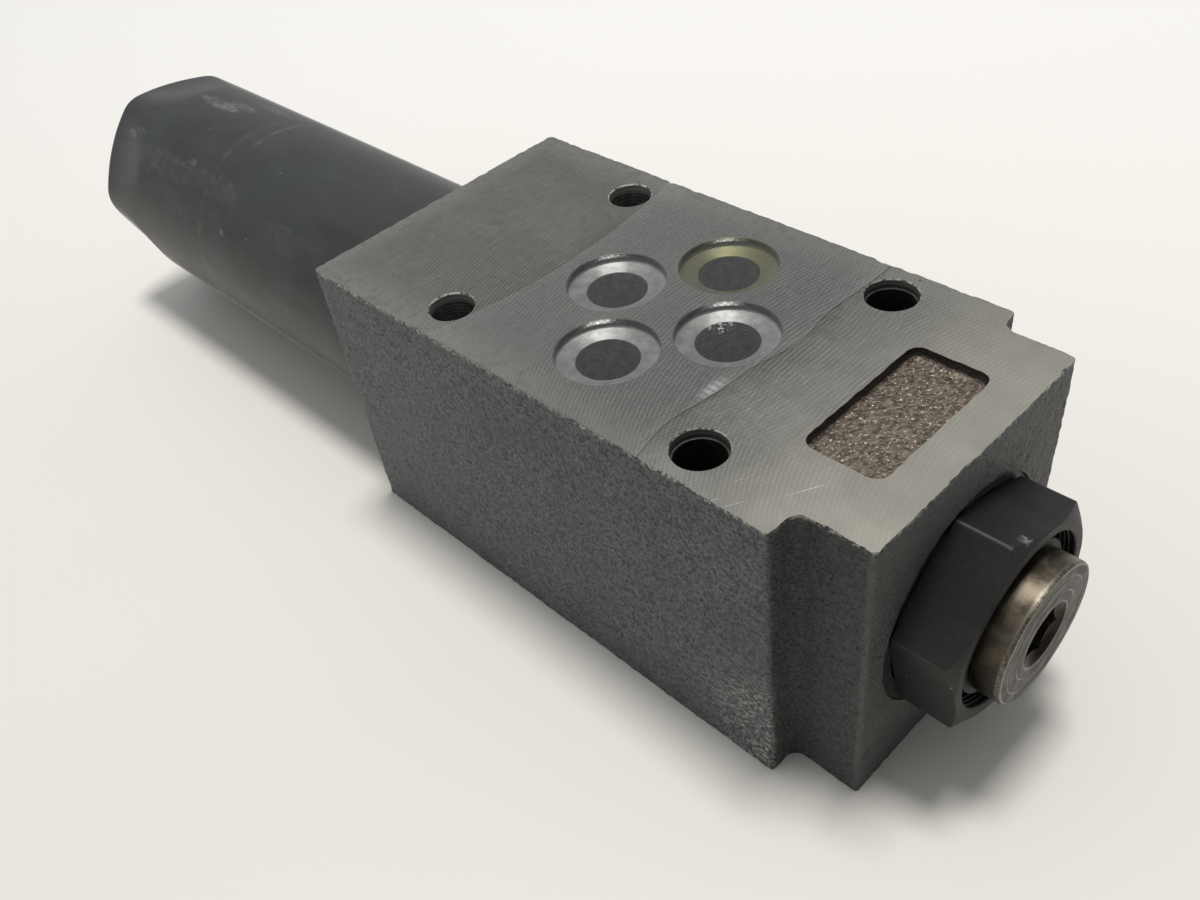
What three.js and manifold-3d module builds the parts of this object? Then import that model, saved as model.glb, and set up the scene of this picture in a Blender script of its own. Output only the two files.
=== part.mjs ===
// Sandwich-plate pressure reducing valve, size 03 interface, direct operated.
// Millimetres. The part rests on its base plane, Z = 0, and +Z is up. The valve axis runs along X at
// Y = 0, Z = 20: the spring housing and its cap point to -X, the end plug and the gauge port to +X.
// The origin is on the base plane, under the middle of the four-bolt pattern.
import * as THREE from "three";
import { mergeVertices } from "three/addons/utils/BufferGeometryUtils.js";
import Module from "manifold-3d";

const wasm = await Module();
wasm.setup();

// ---------- Driving dimensions ----------
const BODY_LEFT = -42.2;
const BODY_RIGHT = 41.8;
const BODY_HALF_WIDTH = 21.25;
const BODY_HEIGHT = 40;
const STEP_X = 33;
const STEP_NEAR_Y = -17.2;
const STEP_FAR_Y = 18;
const AXIS_Z = 20;

// Bolt pattern and ports of the size 03 interface, measured from the middle of the bolt pattern.
const BOLTS_LEFT = [
  [-20.25, -15.5],
  [-20.25, 15.5],
];
const BOLTS_RIGHT = [
  [20.25, -16.25],
  [20.25, 16.25],
];
const BOLT_LEFT_R = 2.75;
const BOLT_RIGHT_R = 2.85;
const BOLT_RIM_R = 3.2;
const BOLT_RIM_DEPTH = 1.2;
const PORT_A = [-7.55, 0];
const PORT_B = [9.95, 0];
const PORT_P = [1.25, 10.4];
const PORT_T = [1.25, -10.4];
const PORT_R = 3.7;
const SEAL_RECESS_R = 6.05;
const SEAL_RECESS_DEPTH = 1.2;

// Valve bore, its grooves and the two threaded chambers.
const BORE_R = 6;
const CHAMBER_R = 14.05;
const CHAMBER_FLOOR = -28.5;
const PLUG_BORE_R = 10.05;
const PLUG_BORE_FLOOR = 24;
const SPOTFACE_X = 41.3;
const GROOVE_T = [-17.2, -13.4, 10.4];
const GROOVE_P1 = [-7.5, -2.8, 8.5];
const GROOVE_P = [5.3, 9.3, 8.5];
const BYPASS_Y = 14.2;
const BYPASS_R = 3.3;
const BYPASS_HIGH_Z = 33.2;
const BYPASS_LOW_Z = 6.8;

// Spool.
const SPOOL_R = 5.95;
const SPOOL_LEFT = -28.5;
const SPOOL_RIGHT = 25.7;
const WAIST_LEFT = -8.3;
const WAIST_RIGHT = 8.9;
const WAIST_R = 3.6;

// Spring housing, spring, adjuster and cap.
const BARREL_R = 17.45;
const COLLAR_X = -42.4;
const SEAM_X = -90.2;
const SPRING_BORE_R = 10.5;
const SPRING_BORE_END = -84;
const NECK_END = -97;
const NECK_R = 14.6;
const CAP_END = -126.7;
const CAP_FLAT_DISTANCE = 16;
const CAP_FLAT_ANGLE = 23;
const WIRE_R = 1.4;
const COIL_R = 7.85;
const SPRING_RIGHT = -31.6;
const SPRING_LEFT = -74.2;
const SPRING_TURNS = 9;
const SCREW_R = 5.95;
const NUT_ACROSS_FLATS = 19;

// End plug and gauge port plug.
const HEX_ACROSS_FLATS = 23.7;
const HEX_VERTEX_ANGLE = 43.65;
const HEX_FRONT = 48.85;
const FRONT_RECESS_R = 10.6;
const FRONT_RECESS_FLOOR = 46.45;
const GAUGE_COLLAR_R = 8.5;
const GAUGE_FRONT = 51.65;
const SOCKET_ACROSS_FLATS = 6;

const FINE = 36;
const MEDIUM = 24;
const SMALL = 16;

// ---------- Geometry helpers ----------
function solid(geometry) {
  const bare = geometry.index ? geometry.toNonIndexed() : geometry.clone();
  bare.deleteAttribute("normal");
  bare.deleteAttribute("uv");
  const merged = mergeVertices(bare, 1e-4);
  return new wasm.Manifold(
    new wasm.Mesh({
      numProp: 3,
      vertProperties: merged.attributes.position.array,
      triVerts: new Uint32Array(merged.index.array),
    }),
  );
}

// A body turned about the valve axis, from a profile of [x, radius] points.
function turned(profile, segments = FINE) {
  const points = profile.map(([x, r]) => new THREE.Vector2(r, x));
  const lathe = new THREE.LatheGeometry(points, segments);
  return solid(lathe.rotateZ(-Math.PI / 2).translate(0, 0, AXIS_Z));
}

// A plain disc or cylinder on the valve axis, used for bores and grooves too.
function disc(x0, x1, r, segments = FINE) {
  return turned([[x0, 0], [x0, r], [x1, r], [x1, 0]], segments);
}

// A ring on the valve axis, with a rectangular section.
function ring(x0, x1, inner, outer, segments = FINE) {
  return turned([[x0, inner], [x0, outer], [x1, outer], [x1, inner], [x0, inner]], segments);
}

// An O-ring on the valve axis.
function oRing(x, ringR, cordR, segments = FINE) {
  const profile = [];
  for (let i = 0; i <= 8; i += 1) {
    const turn = (-2 * Math.PI * i) / 8;
    profile.push([x - cordR * Math.cos(turn), ringR - cordR * Math.sin(turn)]);
  }
  profile[8] = profile[0];
  return turned(profile, segments);
}

// A hexagonal prism on the valve axis, one vertex at the given angle from +Y towards +Z.
function hexPrism(x0, x1, acrossFlats, vertexAngle) {
  const r = acrossFlats / Math.sqrt(3);
  const start = THREE.MathUtils.degToRad(vertexAngle - 90);
  const prism = new THREE.CylinderGeometry(r, r, x1 - x0, 6, 1, false, start);
  return solid(prism.rotateZ(-Math.PI / 2).translate((x0 + x1) / 2, 0, AXIS_Z));
}

function box(x0, x1, y0, y1, z0, z1) {
  const block = new THREE.BoxGeometry(x1 - x0, y1 - y0, z1 - z0);
  return solid(block.translate((x0 + x1) / 2, (y0 + y1) / 2, (z0 + z1) / 2));
}

// A vertical hole, straight or tapered.
function drillZ([x, y], z0, z1, r0, r1 = r0, segments = SMALL) {
  const hole = new THREE.CylinderGeometry(r1, r0, z1 - z0, segments);
  return solid(hole.rotateX(Math.PI / 2).translate(x, y, (z0 + z1) / 2));
}

// A hole across the valve, along Y.
function drillY(x, z, y0, y1, r) {
  const hole = new THREE.CylinderGeometry(r, r, y1 - y0, SMALL);
  return solid(hole.translate(x, (y0 + y1) / 2, z));
}

// A hole along X, off the valve axis.
function drillX(y, z, x0, x1, r, segments = SMALL) {
  const hole = new THREE.CylinderGeometry(r, r, x1 - x0, segments);
  return solid(hole.rotateZ(-Math.PI / 2).translate((x0 + x1) / 2, y, z));
}

function cut(body, tools) {
  return tools.reduce((left, tool) => left.subtract(tool), body);
}

// An outline of [x, y, corner radius] points, with every corner rounded by an arc of four steps.
function roundedOutline(corners) {
  const outline = [];
  corners.forEach(([x, y, r], i) => {
    const before = corners[(i + corners.length - 1) % corners.length];
    const after = corners[(i + 1) % corners.length];
    const from = new THREE.Vector2(before[0] - x, before[1] - y).normalize();
    const to = new THREE.Vector2(after[0] - x, after[1] - y).normalize();
    const half = Math.acos(from.dot(to)) / 2;
    const reach = r / Math.tan(half);
    const corner = new THREE.Vector2(x, y);
    const middle = from.clone().add(to).normalize();
    const centre = corner.clone().addScaledVector(middle, r / Math.sin(half));
    const first = corner.clone().addScaledVector(from, reach).sub(centre);
    const last = corner.clone().addScaledVector(to, reach).sub(centre);
    const sweep = Math.atan2(first.cross(last), first.dot(last));
    for (let step = 0; step <= 4; step += 1) {
      const angle = (sweep * step) / 4;
      outline.push(first.clone().rotateAround(new THREE.Vector2(), angle).add(centre));
    }
  });
  return new THREE.Shape(outline);
}

function prismZ(shape, z0, z1) {
  const block = new THREE.ExtrudeGeometry(shape, { depth: z1 - z0, bevelEnabled: false });
  return solid(block.translate(0, 0, z0));
}

const valve = new THREE.Group();
valve.name = "sandwich_reducing_valve";

function addPart(name, body, color, roughness, metalness) {
  const mesh = body.getMesh();
  const geometry = new THREE.BufferGeometry();
  geometry.setAttribute("position", new THREE.BufferAttribute(mesh.vertProperties, 3));
  geometry.setIndex(new THREE.BufferAttribute(mesh.triVerts, 1));
  const flat = geometry.toNonIndexed();
  flat.computeVertexNormals();
  const material = new THREE.MeshStandardMaterial({ color, roughness, metalness });
  const part = new THREE.Mesh(flat, material);
  part.name = name;
  valve.add(part);
}

// ---------- Cast iron housing ----------
function housingBlock() {
  const outline = roundedOutline([
    [BODY_LEFT, -BODY_HALF_WIDTH, 0.9],
    [STEP_X, -BODY_HALF_WIDTH, 1],
    [STEP_X, STEP_NEAR_Y, 1.7],
    [BODY_RIGHT, STEP_NEAR_Y, 0.9],
    [BODY_RIGHT, STEP_FAR_Y, 0.9],
    [STEP_X, STEP_FAR_Y, 1.7],
    [STEP_X, BODY_HALF_WIDTH, 1],
    [BODY_LEFT, BODY_HALF_WIDTH, 0.9],
  ]);
  return prismZ(outline, 0, BODY_HEIGHT);
}

// Four through bolt holes: the left pair has a light chamfer, the right pair a short wide mouth.
function boltHoles() {
  const holes = [];
  for (const at of BOLTS_LEFT) {
    holes.push(drillZ(at, -1, BODY_HEIGHT + 1, BOLT_LEFT_R));
    holes.push(drillZ(at, BODY_HEIGHT - 0.25, BODY_HEIGHT + 0.25, BOLT_LEFT_R, 3.25));
    holes.push(drillZ(at, -0.25, 0.25, 3.25, BOLT_LEFT_R));
  }
  for (const at of BOLTS_RIGHT) {
    holes.push(drillZ(at, -1, BODY_HEIGHT + 1, BOLT_RIGHT_R));
    holes.push(drillZ(at, BODY_HEIGHT - BOLT_RIM_DEPTH, BODY_HEIGHT + 1, BOLT_RIM_R));
    holes.push(drillZ(at, -0.25, 0.25, 3.35, BOLT_RIGHT_R));
  }
  return holes;
}

// Ports A and B pass the bore through a cored passage behind it. The inlet P meets its own groove,
// the reduced outlet leaves from the second groove, and the tank passage runs past the bore.
function portPassages() {
  const cores = [];
  for (const [port, channelX] of [[PORT_A, -9.3], [PORT_B, 11.5]]) {
    const feedX = (port[0] + channelX) / 2;
    cores.push(drillZ(port, BODY_HEIGHT - 10, BODY_HEIGHT + 1, PORT_R));
    cores.push(drillZ(port, -1, 10, PORT_R));
    cores.push(drillZ([channelX, BYPASS_Y], BYPASS_LOW_Z, BYPASS_HIGH_Z, BYPASS_R));
    for (const z of [BYPASS_LOW_Z, BYPASS_HIGH_Z]) {
      cores.push(drillY(feedX, z, port[1], BYPASS_Y, 3.1));
    }
  }
  cores.push(drillZ(PORT_P, 22, BODY_HEIGHT + 1, PORT_R));
  cores.push(box(-1, GROOVE_P[1], 7.3, 9.8, 20.5, 26));
  cores.push(drillZ(PORT_P, -1, 18, PORT_R));
  cores.push(box(GROOVE_P1[0], 3, 7.3, 9.8, 13, 18.5));
  cores.push(drillZ(PORT_T, 30, BODY_HEIGHT + 1, PORT_R));
  cores.push(drillZ(PORT_T, -1, 10, PORT_R));
  cores.push(drillZ([PORT_T[0], -12.4], 6, 34, 3.4));
  cores.push(box(-16.6, 1, -13.5, -9.4, 17, 23));
  cores.push(drillX(-8.5, AXIS_Z, CHAMBER_FLOOR - 0.5, GROOVE_T[0] + 1, 1.3, 12));
  const recessFloor = BODY_HEIGHT - SEAL_RECESS_DEPTH;
  for (const port of [PORT_A, PORT_B, PORT_P, PORT_T]) {
    const recess = drillZ(port, recessFloor, BODY_HEIGHT + 1, SEAL_RECESS_R, SEAL_RECESS_R, MEDIUM);
    cores.push(recess);
  }
  return cores;
}

function housing() {
  const pocket = prismZ(
    roundedOutline([
      [27.35, -9.5, 1.5],
      [36.85, -9.5, 1.5],
      [36.85, 10.2, 1.5],
      [27.35, 10.2, 1.5],
    ]),
    BODY_HEIGHT - 1.2,
    BODY_HEIGHT + 1,
  );
  const chamber = turned([
    [BODY_LEFT - 1, 0],
    [BODY_LEFT - 1, 16.05],
    [-40.35, 16.05],
    [-40.35, CHAMBER_R],
    [CHAMBER_FLOOR, CHAMBER_R],
    [CHAMBER_FLOOR, 0],
  ]);
  const plugBore = turned([
    [PLUG_BORE_FLOOR, 0],
    [PLUG_BORE_FLOOR, PLUG_BORE_R],
    [39.4, PLUG_BORE_R],
    [39.4, 12.15],
    [SPOTFACE_X, 12.15],
    [SPOTFACE_X, 14],
    [BODY_RIGHT + 1, 14],
    [BODY_RIGHT + 1, 0],
  ]);
  const grooves = [GROOVE_T, GROOVE_P1, GROOVE_P].map(([x0, x1, r]) => disc(x0, x1, r, MEDIUM));
  const bore = disc(CHAMBER_FLOOR - 1, PLUG_BORE_FLOOR + 1, BORE_R, MEDIUM);
  const tools = [chamber, plugBore, bore, pocket, ...grooves, ...boltHoles(), ...portPassages()];
  return cut(housingBlock(), tools);
}

addPart("valve_housing", housing(), 0x6d7073, 0.6, 0.6);

// ---------- Spool and its orifice ----------
function spool() {
  const profile = [
    [SPOOL_LEFT, 0],
    [SPOOL_LEFT, 3.4],
    [-27.2, 3.4],
    [-27.2, 5.45],
    [-26.7, SPOOL_R],
  ];
  for (const x of [-23, -19.5]) {
    profile.push([x, SPOOL_R], [x, 5.5], [x + 0.7, 5.5], [x + 0.7, SPOOL_R]);
  }
  profile.push([WAIST_LEFT, SPOOL_R], [WAIST_LEFT + 0.4, WAIST_R]);
  profile.push([WAIST_RIGHT - 0.4, WAIST_R], [WAIST_RIGHT, SPOOL_R]);
  for (const x of [13, 17, 21]) {
    profile.push([x, SPOOL_R], [x, 5.5], [x + 0.7, 5.5], [x + 0.7, SPOOL_R]);
  }
  profile.push([SPOOL_RIGHT - 0.5, SPOOL_R], [SPOOL_RIGHT, 5.45], [SPOOL_RIGHT, 0]);
  const controlLine = disc(-1, SPOOL_RIGHT + 1, 1.25, 12);
  const orificeSeat = disc(19.5, SPOOL_RIGHT + 1, 2.5, SMALL);
  const crossHole = drillY(0, AXIS_Z, -WAIST_R - 1, WAIST_R + 1, 1);
  return cut(turned(profile, MEDIUM), [controlLine, orificeSeat, crossHole]);
}

addPart("control_spool", spool(), 0xb8babd, 0.25, 0.95);

const orificeBody = turned(
  [[19.9, 0.5], [19.9, 2.45], [24.9, 2.45], [24.9, 0.5], [19.9, 0.5]],
  SMALL,
);
const orificeSlot = box(23.9, 26, -3, 3, AXIS_Z - 0.4, AXIS_Z + 0.4);
addPart("orifice_screw", orificeBody.subtract(orificeSlot), 0x8d8f92, 0.4, 0.9);

// ---------- Spring, its two plates and a setting shim ----------
const spoolPlate = turned(
  [
    [-35, 0],
    [-35, 5.4],
    [-34.4, 6.1],
    [-31.3, 6.1],
    [-31.3, 9.1],
    [-30.9, 9.5],
    [-29.1, 9.5],
    [-28.8, 9.2],
    [-28.8, 0],
  ],
  MEDIUM,
);
addPart("spool_spring_plate", spoolPlate, 0x85888b, 0.4, 0.9);

// The wire's centre line: closed end coils, open coils between them.
class SpringLine extends THREE.Curve {
  getPoint(t, target = new THREE.Vector3()) {
    const turns = t * SPRING_TURNS;
    const endPitch = 2 * WIRE_R + 0.12;
    const length = SPRING_RIGHT - SPRING_LEFT - 2 * WIRE_R;
    const openPitch = (length - 2 * endPitch) / (SPRING_TURNS - 2);
    const before = Math.min(turns, 1) * endPitch;
    const open = Math.min(Math.max(turns - 1, 0), SPRING_TURNS - 2) * openPitch;
    const after = Math.max(turns - (SPRING_TURNS - 1), 0) * endPitch;
    const x = SPRING_RIGHT - WIRE_R - before - open - after;
    const angle = turns * 2 * Math.PI;
    return target.set(x, COIL_R * Math.cos(angle), AXIS_Z + COIL_R * Math.sin(angle));
  }
}

function mainSpring() {
  const section = new THREE.Shape();
  section.setFromPoints(
    Array.from({ length: 8 }, (_, i) => {
      const angle = (2 * Math.PI * i) / 8;
      return new THREE.Vector2(WIRE_R * Math.cos(angle), WIRE_R * Math.sin(angle));
    }),
  );
  const wire = new THREE.ExtrudeGeometry(section, {
    steps: SPRING_TURNS * 14,
    extrudePath: new SpringLine(),
    bevelEnabled: false,
  });
  return solid(wire);
}

addPart("main_spring", mainSpring(), 0x6f7478, 0.35, 0.9);

const adjusterPlate = turned(
  [
    [-80, 0],
    [-80, 9.9],
    [-79.6, 10.3],
    [-78.6, 10.3],
    [-78.6, 8.75],
    [-76.8, 8.75],
    [-76.8, 10.3],
    [-75.4, 10.3],
    [-75.1, 10],
    [-75.1, 6.1],
    [-72, 6.1],
    [-71.4, 5.4],
    [-71.4, 0],
  ],
  FINE,
);
const ballSeat = disc(-81, -76.9, 2.7, SMALL);
addPart("adjuster_spring_plate", adjusterPlate.subtract(ballSeat), 0x85888b, 0.4, 0.9);
addPart("spring_shim", ring(-74.95, -74.4, 6.4, 9.3), 0x9a9da0, 0.35, 0.9);

// A ball takes the screw's thrust, so that the plate and its O-ring slide without turning.
const ball = new THREE.SphereGeometry(2.5, 14, 10).translate(-79.6, 0, AXIS_Z);
addPart("thrust_ball", solid(ball), 0xc0c2c5, 0.15, 1);
addPart("piston_oring", oRing(-77.7, 9.62, 0.8), 0x1b1b1c, 0.8, 0);

// ---------- Spring housing ----------
const barrel = turned([
  [NECK_END, 6.05],
  [NECK_END, 14.1],
  [NECK_END + 0.5, NECK_R],
  [SEAM_X + 0.1, NECK_R],
  [SEAM_X + 0.1, BARREL_R - 0.25],
  [SEAM_X + 0.35, BARREL_R],
  [COLLAR_X - 0.4, BARREL_R],
  [COLLAR_X, BARREL_R - 0.4],
  [COLLAR_X, 13.5],
  [-40.2, 13.5],
  [-40.2, 13.9],
  [-30.1, 13.9],
  [-29.5, 13.3],
  [-29.5, SPRING_BORE_R],
  [SPRING_BORE_END, SPRING_BORE_R],
  [SPRING_BORE_END, 6.05],
  [NECK_END, 6.05],
]);
addPart("spring_housing", barrel, 0x3c3e41, 0.45, 0.7);
addPart("spring_housing_oring", oRing(-41.3, 15, 0.85), 0x1b1b1c, 0.8, 0);

// ---------- Adjusting screw, lock nut and washer ----------
const screwBody = turned(
  [
    [-112, 0],
    [-112, 5.2],
    [-111.3, SCREW_R],
    [-83.2, SCREW_R],
    [-82.4, 5.1],
    [-80.3, 5.1],
    [-80.3, 0],
  ],
  FINE,
);
const screwSocket = hexPrism(-113, -106, 5, 0);
const screwSeat = disc(-82.3, -80, 2.7, SMALL);
addPart("adjusting_screw", cut(screwBody, [screwSocket, screwSeat]), 0x7d8083, 0.35, 0.9);
addPart("lock_nut_washer", ring(-98.8, -97.3, 6.3, 11.2), 0x8a8d90, 0.4, 0.9);

function lockNut() {
  const corner = NUT_ACROSS_FLATS / Math.sqrt(3);
  const flat = NUT_ACROSS_FLATS / 2;
  const chamfered = turned([
    [-106, 0],
    [-106, flat - 0.2],
    [-105.2, corner + 0.2],
    [-99.9, corner + 0.2],
    [-99.1, flat - 0.2],
    [-99.1, 0],
  ]);
  const hex = hexPrism(-106, -99.1, NUT_ACROSS_FLATS, 10).intersect(chamfered);
  return hex.subtract(disc(-107, -98, 6.05));
}

addPart("lock_nut", lockNut(), 0x7d8083, 0.4, 0.9);

// ---------- Protective cap ----------
// Six short spanner flats are milled into its closed end and run out towards the barrel.
function cap() {
  const shell = turned([
    [CAP_END, 0],
    [CAP_END, BARREL_R - 1.2],
    [CAP_END + 1.2, BARREL_R],
    [SEAM_X - 0.35, BARREL_R],
    [SEAM_X - 0.1, BARREL_R - 0.25],
    [SEAM_X - 0.1, 14.9],
    [-91.9, 14.9],
    [-91.9, 16.15],
    [-93.5, 16.15],
    [-93.5, 14.9],
    [-97.3, 14.9],
    [-97.3, 12.5],
    [-123, 12.5],
    [-123.7, 11.8],
    [-123.7, 0],
  ]);
  const mill = new THREE.Shape([
    new THREE.Vector2(CAP_END - 2, CAP_FLAT_DISTANCE),
    new THREE.Vector2(CAP_END + 6, CAP_FLAT_DISTANCE),
    new THREE.Vector2(CAP_END + 8, CAP_FLAT_DISTANCE + 0.25),
    new THREE.Vector2(CAP_END + 9.6, CAP_FLAT_DISTANCE + 0.75),
    new THREE.Vector2(CAP_END + 10.8, CAP_FLAT_DISTANCE + 1.6),
    new THREE.Vector2(CAP_END + 10.8, 22),
    new THREE.Vector2(CAP_END - 2, 22),
  ]);
  const flats = [];
  for (let i = 0; i < 6; i += 1) {
    const swing = THREE.MathUtils.degToRad(CAP_FLAT_ANGLE + 60 * i - 90);
    const cutter = new THREE.ExtrudeGeometry(mill, { depth: 20, bevelEnabled: false });
    cutter.translate(0, 0, -10).rotateX(Math.PI / 2).rotateX(swing);
    flats.push(solid(cutter.translate(0, 0, AXIS_Z)));
  }
  return cut(shell, flats);
}

addPart("protective_cap", cap(), 0x3a3c3f, 0.45, 0.7);
addPart("cap_oring", oRing(-92.7, 15.37, 0.7), 0x1b1b1c, 0.8, 0);

// ---------- End plug ----------
function endPlug() {
  const corner = HEX_ACROSS_FLATS / Math.sqrt(3);
  const limit = turned([
    [41.6, 0],
    [41.6, corner - 0.6],
    [42.1, corner + 0.3],
    [HEX_FRONT - 0.9, corner],
    [HEX_FRONT, corner - 1.55],
    [HEX_FRONT, 0],
  ]);
  const head = hexPrism(41.6, HEX_FRONT, HEX_ACROSS_FLATS, HEX_VERTEX_ANGLE).intersect(limit);
  const shank = turned([
    [26, 0],
    [26, 9.1],
    [26.8, 9.95],
    [38.4, 9.95],
    [38.9, 9.4],
    [42, 9.4],
    [42, 0],
  ]);
  return cut(head.add(shank), [
    disc(FRONT_RECESS_FLOOR, HEX_FRONT + 1, FRONT_RECESS_R),
    disc(35, FRONT_RECESS_FLOOR + 1, 6.05),
    disc(25, 36, 2, SMALL),
    turned([[25, 0], [25, 5], [26, 5], [28, 2], [28, 0]], SMALL),
  ]);
}

addPart("end_plug", endPlug(), 0x2a2b2d, 0.55, 0.6);
addPart("end_plug_oring", oRing(40.35, 10.95, 0.85), 0x1b1b1c, 0.8, 0);

// ---------- Gauge port plug ----------
const gaugeTurned = turned([
  [37, 0],
  [37, 5.1],
  [37.8, 5.95],
  [46.2, 5.95],
  [46.8, 5.2],
  [48.1, 5.2],
  [48.1, 8.2],
  [48.4, GAUGE_COLLAR_R],
  [GAUGE_FRONT - 0.4, GAUGE_COLLAR_R],
  [GAUGE_FRONT, GAUGE_COLLAR_R - 0.4],
  [GAUGE_FRONT, 0],
]);
const socketMouth = turned(
  [[50.85, 0], [50.85, 3.1], [GAUGE_FRONT + 0.2, 4.2], [GAUGE_FRONT + 0.2, 0]],
  SMALL,
);
const gaugeSocket = hexPrism(45.8, 53, SOCKET_ACROSS_FLATS, 13);
addPart("gauge_port_plug", cut(gaugeTurned, [socketMouth, gaugeSocket]), 0x9a968c, 0.3, 0.95);
addPart("gauge_plug_seal", ring(46.6, 47.95, 6.15, 9.3), 0x262524, 0.7, 0.1);

export default valve;
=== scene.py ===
import math

import bmesh
import bpy
import numpy as np
from mathutils import Matrix, Vector, noise


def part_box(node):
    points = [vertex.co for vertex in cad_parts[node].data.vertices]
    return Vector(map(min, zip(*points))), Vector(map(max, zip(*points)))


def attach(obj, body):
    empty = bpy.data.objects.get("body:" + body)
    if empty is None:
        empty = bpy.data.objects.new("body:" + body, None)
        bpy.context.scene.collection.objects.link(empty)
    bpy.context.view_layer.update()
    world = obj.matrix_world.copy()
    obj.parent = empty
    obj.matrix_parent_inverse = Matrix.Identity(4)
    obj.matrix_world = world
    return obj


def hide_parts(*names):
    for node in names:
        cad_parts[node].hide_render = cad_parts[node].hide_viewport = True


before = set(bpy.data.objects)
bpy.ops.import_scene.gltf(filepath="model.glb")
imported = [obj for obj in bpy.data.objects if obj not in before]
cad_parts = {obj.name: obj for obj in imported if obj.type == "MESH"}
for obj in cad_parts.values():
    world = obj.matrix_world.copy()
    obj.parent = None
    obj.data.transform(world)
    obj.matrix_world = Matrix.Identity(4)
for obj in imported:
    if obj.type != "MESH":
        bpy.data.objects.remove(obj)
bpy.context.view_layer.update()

# Shapes below are worked out in millimetres and written to Blender in metres.
MM = 0.001


def box_mm(node):
    low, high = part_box(node)
    return low / MM, high / MM


HOUSING_LOW, HOUSING_HIGH = box_mm("valve_housing")
BARREL_LOW, BARREL_HIGH = box_mm("spring_housing")
CAP_LOW, CAP_HIGH = box_mm("protective_cap")
PLUG_LOW, PLUG_HIGH = box_mm("end_plug")
GAUGE_LOW, GAUGE_HIGH = box_mm("gauge_port_plug")

AXIS_Z = (HOUSING_LOW.z + HOUSING_HIGH.z) / 2
TOP_Z = HOUSING_HIGH.z
CAP_END = CAP_LOW.x
# The cap and the barrel stop 0.2 mm apart in the frame; here they meet midway, as the real ones do.
SEAM_X = CAP_HIGH.x + 0.2 / 2
BARREL_R = 17.45
COLLAR_X = HOUSING_LOW.x - 0.02
SEAM_GAP = 0.004
FLAT_DISTANCE = 16.0
FLAT_ANGLE = math.radians(23)
HEX_ACROSS_FLATS = 23.7
HEX_VERTEX = math.radians(43.65)
PLUG_SEAT_R = 14.0

# The standard size 03 interface, from the middle of the bolt pattern.
PORTS = {"A": (-7.55, 0.0), "B": (9.95, 0.0), "P": (1.25, 10.4), "T": (1.25, -10.4)}
PORT_R = 3.7
RECESS_R = 6.05
RECESS_FLOOR = TOP_Z - 1.2
BOLTS_PLAIN = [(-20.25, -15.5), (-20.25, 15.5)]
BOLTS_STEPPED = [(20.25, -16.25), (20.25, 16.25)]
POCKET = (27.35, 36.85, -9.5, 10.2)
STEP_X = 33.0
STEP_NEAR_Y = -17.2
STEP_FAR_Y = 18.0
# The milling cutter's radius, its pitch per tooth, and how far its path is off the middle.
MILL_R = 42.0
MILL_PITCH = 0.56
MILL_OFFSET = 3.0


# ---------- Mesh helpers ----------
def make_object(name, verts, faces, sharp_angle=40):
    """A closed mesh from millimetre points, facing out, smooth but for its sharp edges."""
    mesh = bpy.data.meshes.new(name)
    mesh.from_pydata([tuple(c * MM for c in v) for v in verts], [], faces)
    bm = bmesh.new()
    bm.from_mesh(mesh)
    bmesh.ops.recalc_face_normals(bm, faces=bm.faces)
    bm.to_mesh(mesh)
    bm.free()
    shade(mesh, sharp_angle)
    piece = bpy.data.objects.new(name, mesh)
    bpy.context.scene.collection.objects.link(piece)
    return piece


def shade(mesh, sharp_angle):
    mesh.polygons.foreach_set("use_smooth", [True] * len(mesh.polygons))
    mesh.set_sharp_from_angle(angle=math.radians(sharp_angle))
    mesh.update()


def finely(profile, step, x_from=-1e9, x_to=1e9):
    """The profile with its long edges divided, where they lie between x_from and x_to."""
    fine = [profile[0]]
    for (x0, r0), (x1, r1) in zip(profile, profile[1:]):
        length = math.hypot(x1 - x0, r1 - r0)
        inside = x_from <= min(x0, x1) and max(x0, x1) <= x_to
        count = max(1, math.ceil(length / step)) if inside else 1
        for i in range(1, count + 1):
            fine.append((x0 + (x1 - x0) * i / count, r0 + (r1 - r0) * i / count))
    return fine


def turned(name, profile, segments=192, radius=None, sharp_angle=40, measure=None):
    """A body turned about the valve axis from (x, r) points. radius(x, r, angle, i) may change r.

    measure maps attribute names to functions of (x, r, angle), kept on the mesh's points.
    """
    closed = profile[0] == profile[-1]
    rows = profile[:-1] if closed else profile
    verts, where, row_start = [], [], []
    for i, (x, r) in enumerate(rows):
        row_start.append(len(verts))
        for s in range(1 if r == 0 else segments):
            angle = 2 * math.pi * s / segments
            rr = radius(x, r, angle, i) if radius and r > 0 else r
            verts.append((x, rr * math.cos(angle), AXIS_Z + rr * math.sin(angle)))
            where.append((x, rr, angle))
    faces = []
    last = len(rows) if closed else len(rows) - 1
    for i in range(last):
        a, b = row_start[i], row_start[(i + 1) % len(rows)]
        pole_a, pole_b = rows[i][1] == 0, rows[(i + 1) % len(rows)][1] == 0
        for s in range(segments):
            t = (s + 1) % segments
            if pole_a and pole_b:
                continue
            if pole_a:
                faces.append((a, b + s, b + t))
            elif pole_b:
                faces.append((a + s, a + t, b))
            else:
                faces.append((a + s, a + t, b + t, b + s))
    piece = make_object(name, verts, faces, sharp_angle)
    for key, of in (measure or {}).items():
        attribute = piece.data.attributes.new(key, "FLOAT", "POINT")
        attribute.data.foreach_set("value", [of(*w) for w in where])
    return piece


def soft_min(a, b, blend):
    """The smaller of two, rounded where they meet."""
    gap = max(blend - abs(a - b), 0.0) / blend
    return min(a, b) - gap * gap * blend / 4


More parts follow.
